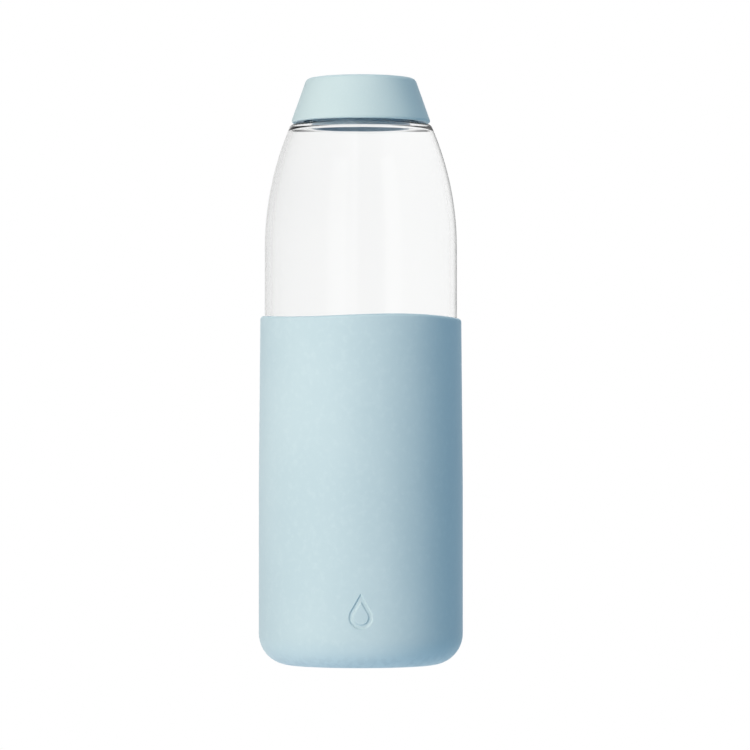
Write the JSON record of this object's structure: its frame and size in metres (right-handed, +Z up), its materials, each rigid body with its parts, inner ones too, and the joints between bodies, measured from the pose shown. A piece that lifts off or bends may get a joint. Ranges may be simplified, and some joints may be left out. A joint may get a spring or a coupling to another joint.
{
  "type": "glass water bottle",
  "caption": "Clear glass bottle with a domed shoulder, standing in a light blue silicone sleeve and closed by a tapered light blue screw lid with a plug and seal ring.",
  "frame": {"origin": "centre of the flat underside of the sleeve, where the bottle stands", "axes": "+Z up along the bottle's axis, -Y towards the front, where the small drop-shaped mark is, +X to the right seen from the front"},
  "size_m": [0.072, 0.072, 0.2067],
  "materials": {
    "sleeve_silicone": "matte, dry-touch moulded silicone, pale blue",
    "bottle_glass": "clear polished soda-lime or borosilicate glass",
    "seal_silicone": "satin translucent white silicone",
    "core_plastic": "satin moulded polypropylene, blue",
    "lid_plastic": "matte fine-textured moulded plastic, pale blue"
  },
  "bodies": {
    "sleeve": {"silicone_sleeve": "sleeve_silicone"},
    "bottle": {"glass_bottle": "bottle_glass"},
    "seal": {"seal_ring": "seal_silicone"},
    "cap": {"cap_core": "core_plastic", "cap_shell": "lid_plastic"}
  },
  "joints": [
    {"name": "glass_lift_out", "type": "slide", "parent": "sleeve", "child": "bottle", "axis": [0, 0, 1], "range_m": [0, 0.13]},
    {"name": "cap_rise", "type": "slide", "parent": "bottle", "child": "seal", "axis": [0, 0, 1], "range_m": [0, 0.012]},
    {"name": "cap_turn", "type": "hinge", "parent": "seal", "child": "cap", "pos_m": [0, 0, 0.191], "axis": [0, 0, 1], "range_deg": [0, 720]}
  ],
  "couplings": [
    {"joint": "cap_rise", "follows": "cap_turn", "m_per_rad": 0.00095492}
  ]
}
